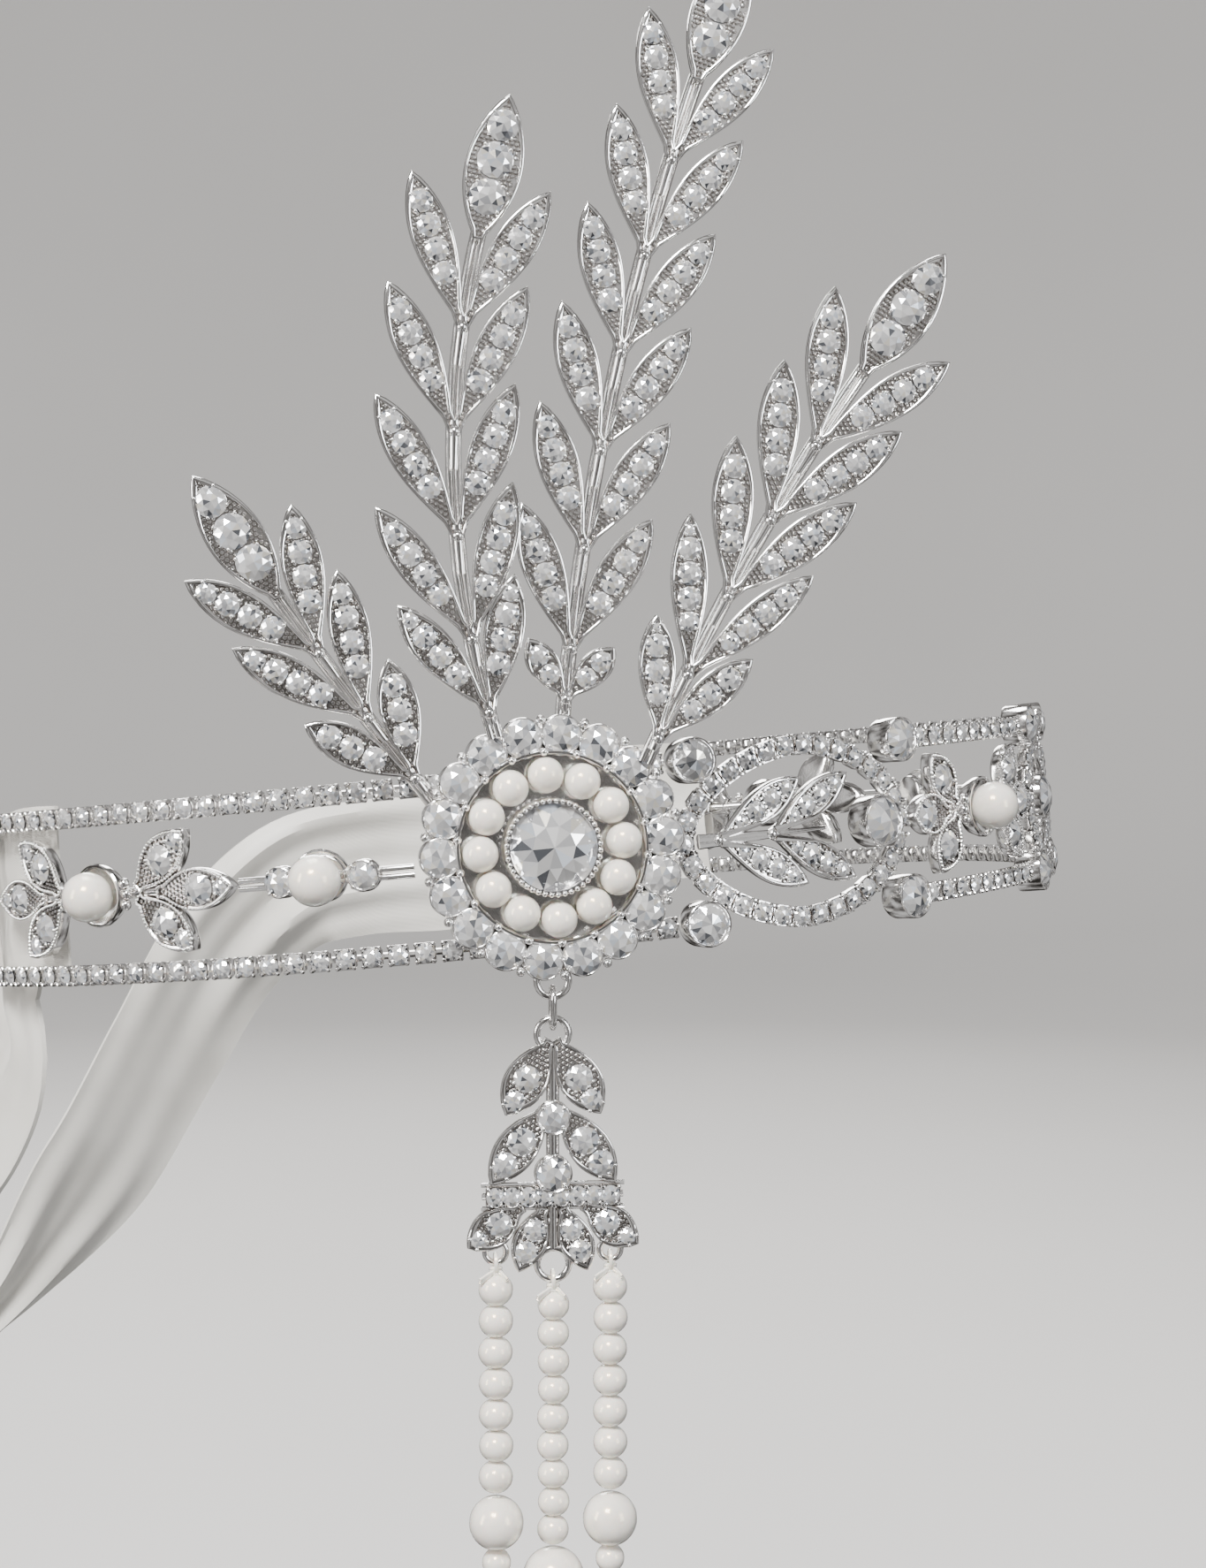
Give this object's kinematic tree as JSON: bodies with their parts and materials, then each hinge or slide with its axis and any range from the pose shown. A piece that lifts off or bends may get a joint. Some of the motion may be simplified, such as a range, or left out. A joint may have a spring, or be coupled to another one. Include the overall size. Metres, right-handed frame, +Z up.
{
  "type": "bridal tiara",
  "caption": "Curved bandeau headpiece with stone-set rails, a rosette, upright leaf sprays, a hinged pearl tassel that swings, and ribbon ties.",
  "frame": {"origin": "middle of the band's circle, where the wearer's head goes", "axes": "+Z up, -Y the wearer's front, -X the wearer's right, the rosette's side"},
  "size_m": [0.1656, 0.2074, 0.3194],
  "materials": {
    "silver": "rhodium-bright polished casting set with clear stones",
    "crystal": "faceted clear stone",
    "pearl": "ivory pearl lustre",
    "satin": "off-white satin ribbon"
  },
  "bodies": {
    "band": {"rosette_frame": "silver", "rosette_pearl_ring": "pearl", "rosette_centre_bezel": "silver", "rosette_centre_stone": "crystal", "rear_spray_stem": "silver", "rear_spray_leaves_1": "silver", "rear_spray_leaves_2": "silver", "rear_spray_leaves_3": "silver", "middle_rear_spray_stem": "silver", "middle_rear_spray_leaves_1": "silver", "middle_rear_spray_leaves_2": "silver", "middle_rear_spray_leaves_3": "silver", "middle_rear_spray_leaves_4": "silver", "middle_rear_spray_leaves_5": "silver", "tall_spray_stem": "silver", "tall_spray_leaves_1": "silver", "tall_spray_leaves_2": "silver", "tall_spray_leaves_3": "silver", "tall_spray_leaves_4": "silver", "tall_spray_leaves_5": "silver", "tall_spray_leaves_6": "silver", "tall_spray_leaves_7": "silver", "front_spray_stem": "silver", "front_spray_leaves_1": "silver", "front_spray_leaves_2": "silver", "front_spray_leaves_3": "silver", "front_spray_leaves_4": "silver", "front_spray_leaves_5": "silver", "upper_rail_front": "silver", "upper_rail_right": "silver", "upper_rail_left": "silver", "lower_rail_front": "silver", "lower_rail_right": "silver", "lower_rail_left": "silver", "oval_frame_right": "silver", "oval_frame_left": "silver", "sprig_right": "silver", "sprig_left": "silver", "right_flower": "silver", "right_flower_pearl": "pearl", "left_flower": "silver", "left_flower_pearl": "pearl", "front_flower": "silver", "front_flower_pearl": "pearl", "side_wire_right": "silver", "side_pearl_right": "pearl", "side_wire_left": "silver", "side_pearl_left": "pearl", "ribbon_right": "satin", "ribbon_left": "satin", "ribbon_knot": "satin"},
    "link": {"tassel_link": "silver"},
    "tassel": {"tassel_body": "silver"},
    "rear_strand": {"rear_strand_pearls": "pearl", "rear_strand_drop": "pearl"},
    "middle_strand": {"middle_strand_pearls": "pearl", "middle_strand_drop": "pearl"},
    "front_strand": {"front_strand_pearls": "pearl", "front_strand_drop": "pearl"}
  },
  "joints": [
    {"name": "link_swing", "type": "hinge", "parent": "band", "child": "link", "pos_m": [-0.0598, -0.05224, -0.0095], "axis": [-0.659, 0.7521, 0], "range_deg": [-10, 60]},
    {"name": "tassel_sway", "type": "hinge", "parent": "link", "child": "tassel", "pos_m": [-0.0598, -0.05224, -0.01295], "axis": [-0.7521, -0.659, 0], "range_deg": [-25, 25]},
    {"name": "rear_strand_swing", "type": "hinge", "parent": "tassel", "child": "rear_strand", "pos_m": [-0.06408, -0.04735, -0.0396], "axis": [-0.659, 0.7521, 0], "range_deg": [-30, 35]},
    {"name": "middle_strand_swing", "type": "hinge", "parent": "tassel", "child": "middle_strand", "pos_m": [-0.0598, -0.05224, -0.0417], "axis": [-0.659, 0.7521, 0], "range_deg": [-30, 35]},
    {"name": "front_strand_swing", "type": "hinge", "parent": "tassel", "child": "front_strand", "pos_m": [-0.05551, -0.05713, -0.0396], "axis": [-0.659, 0.7521, 0], "range_deg": [-30, 35]}
  ]
}
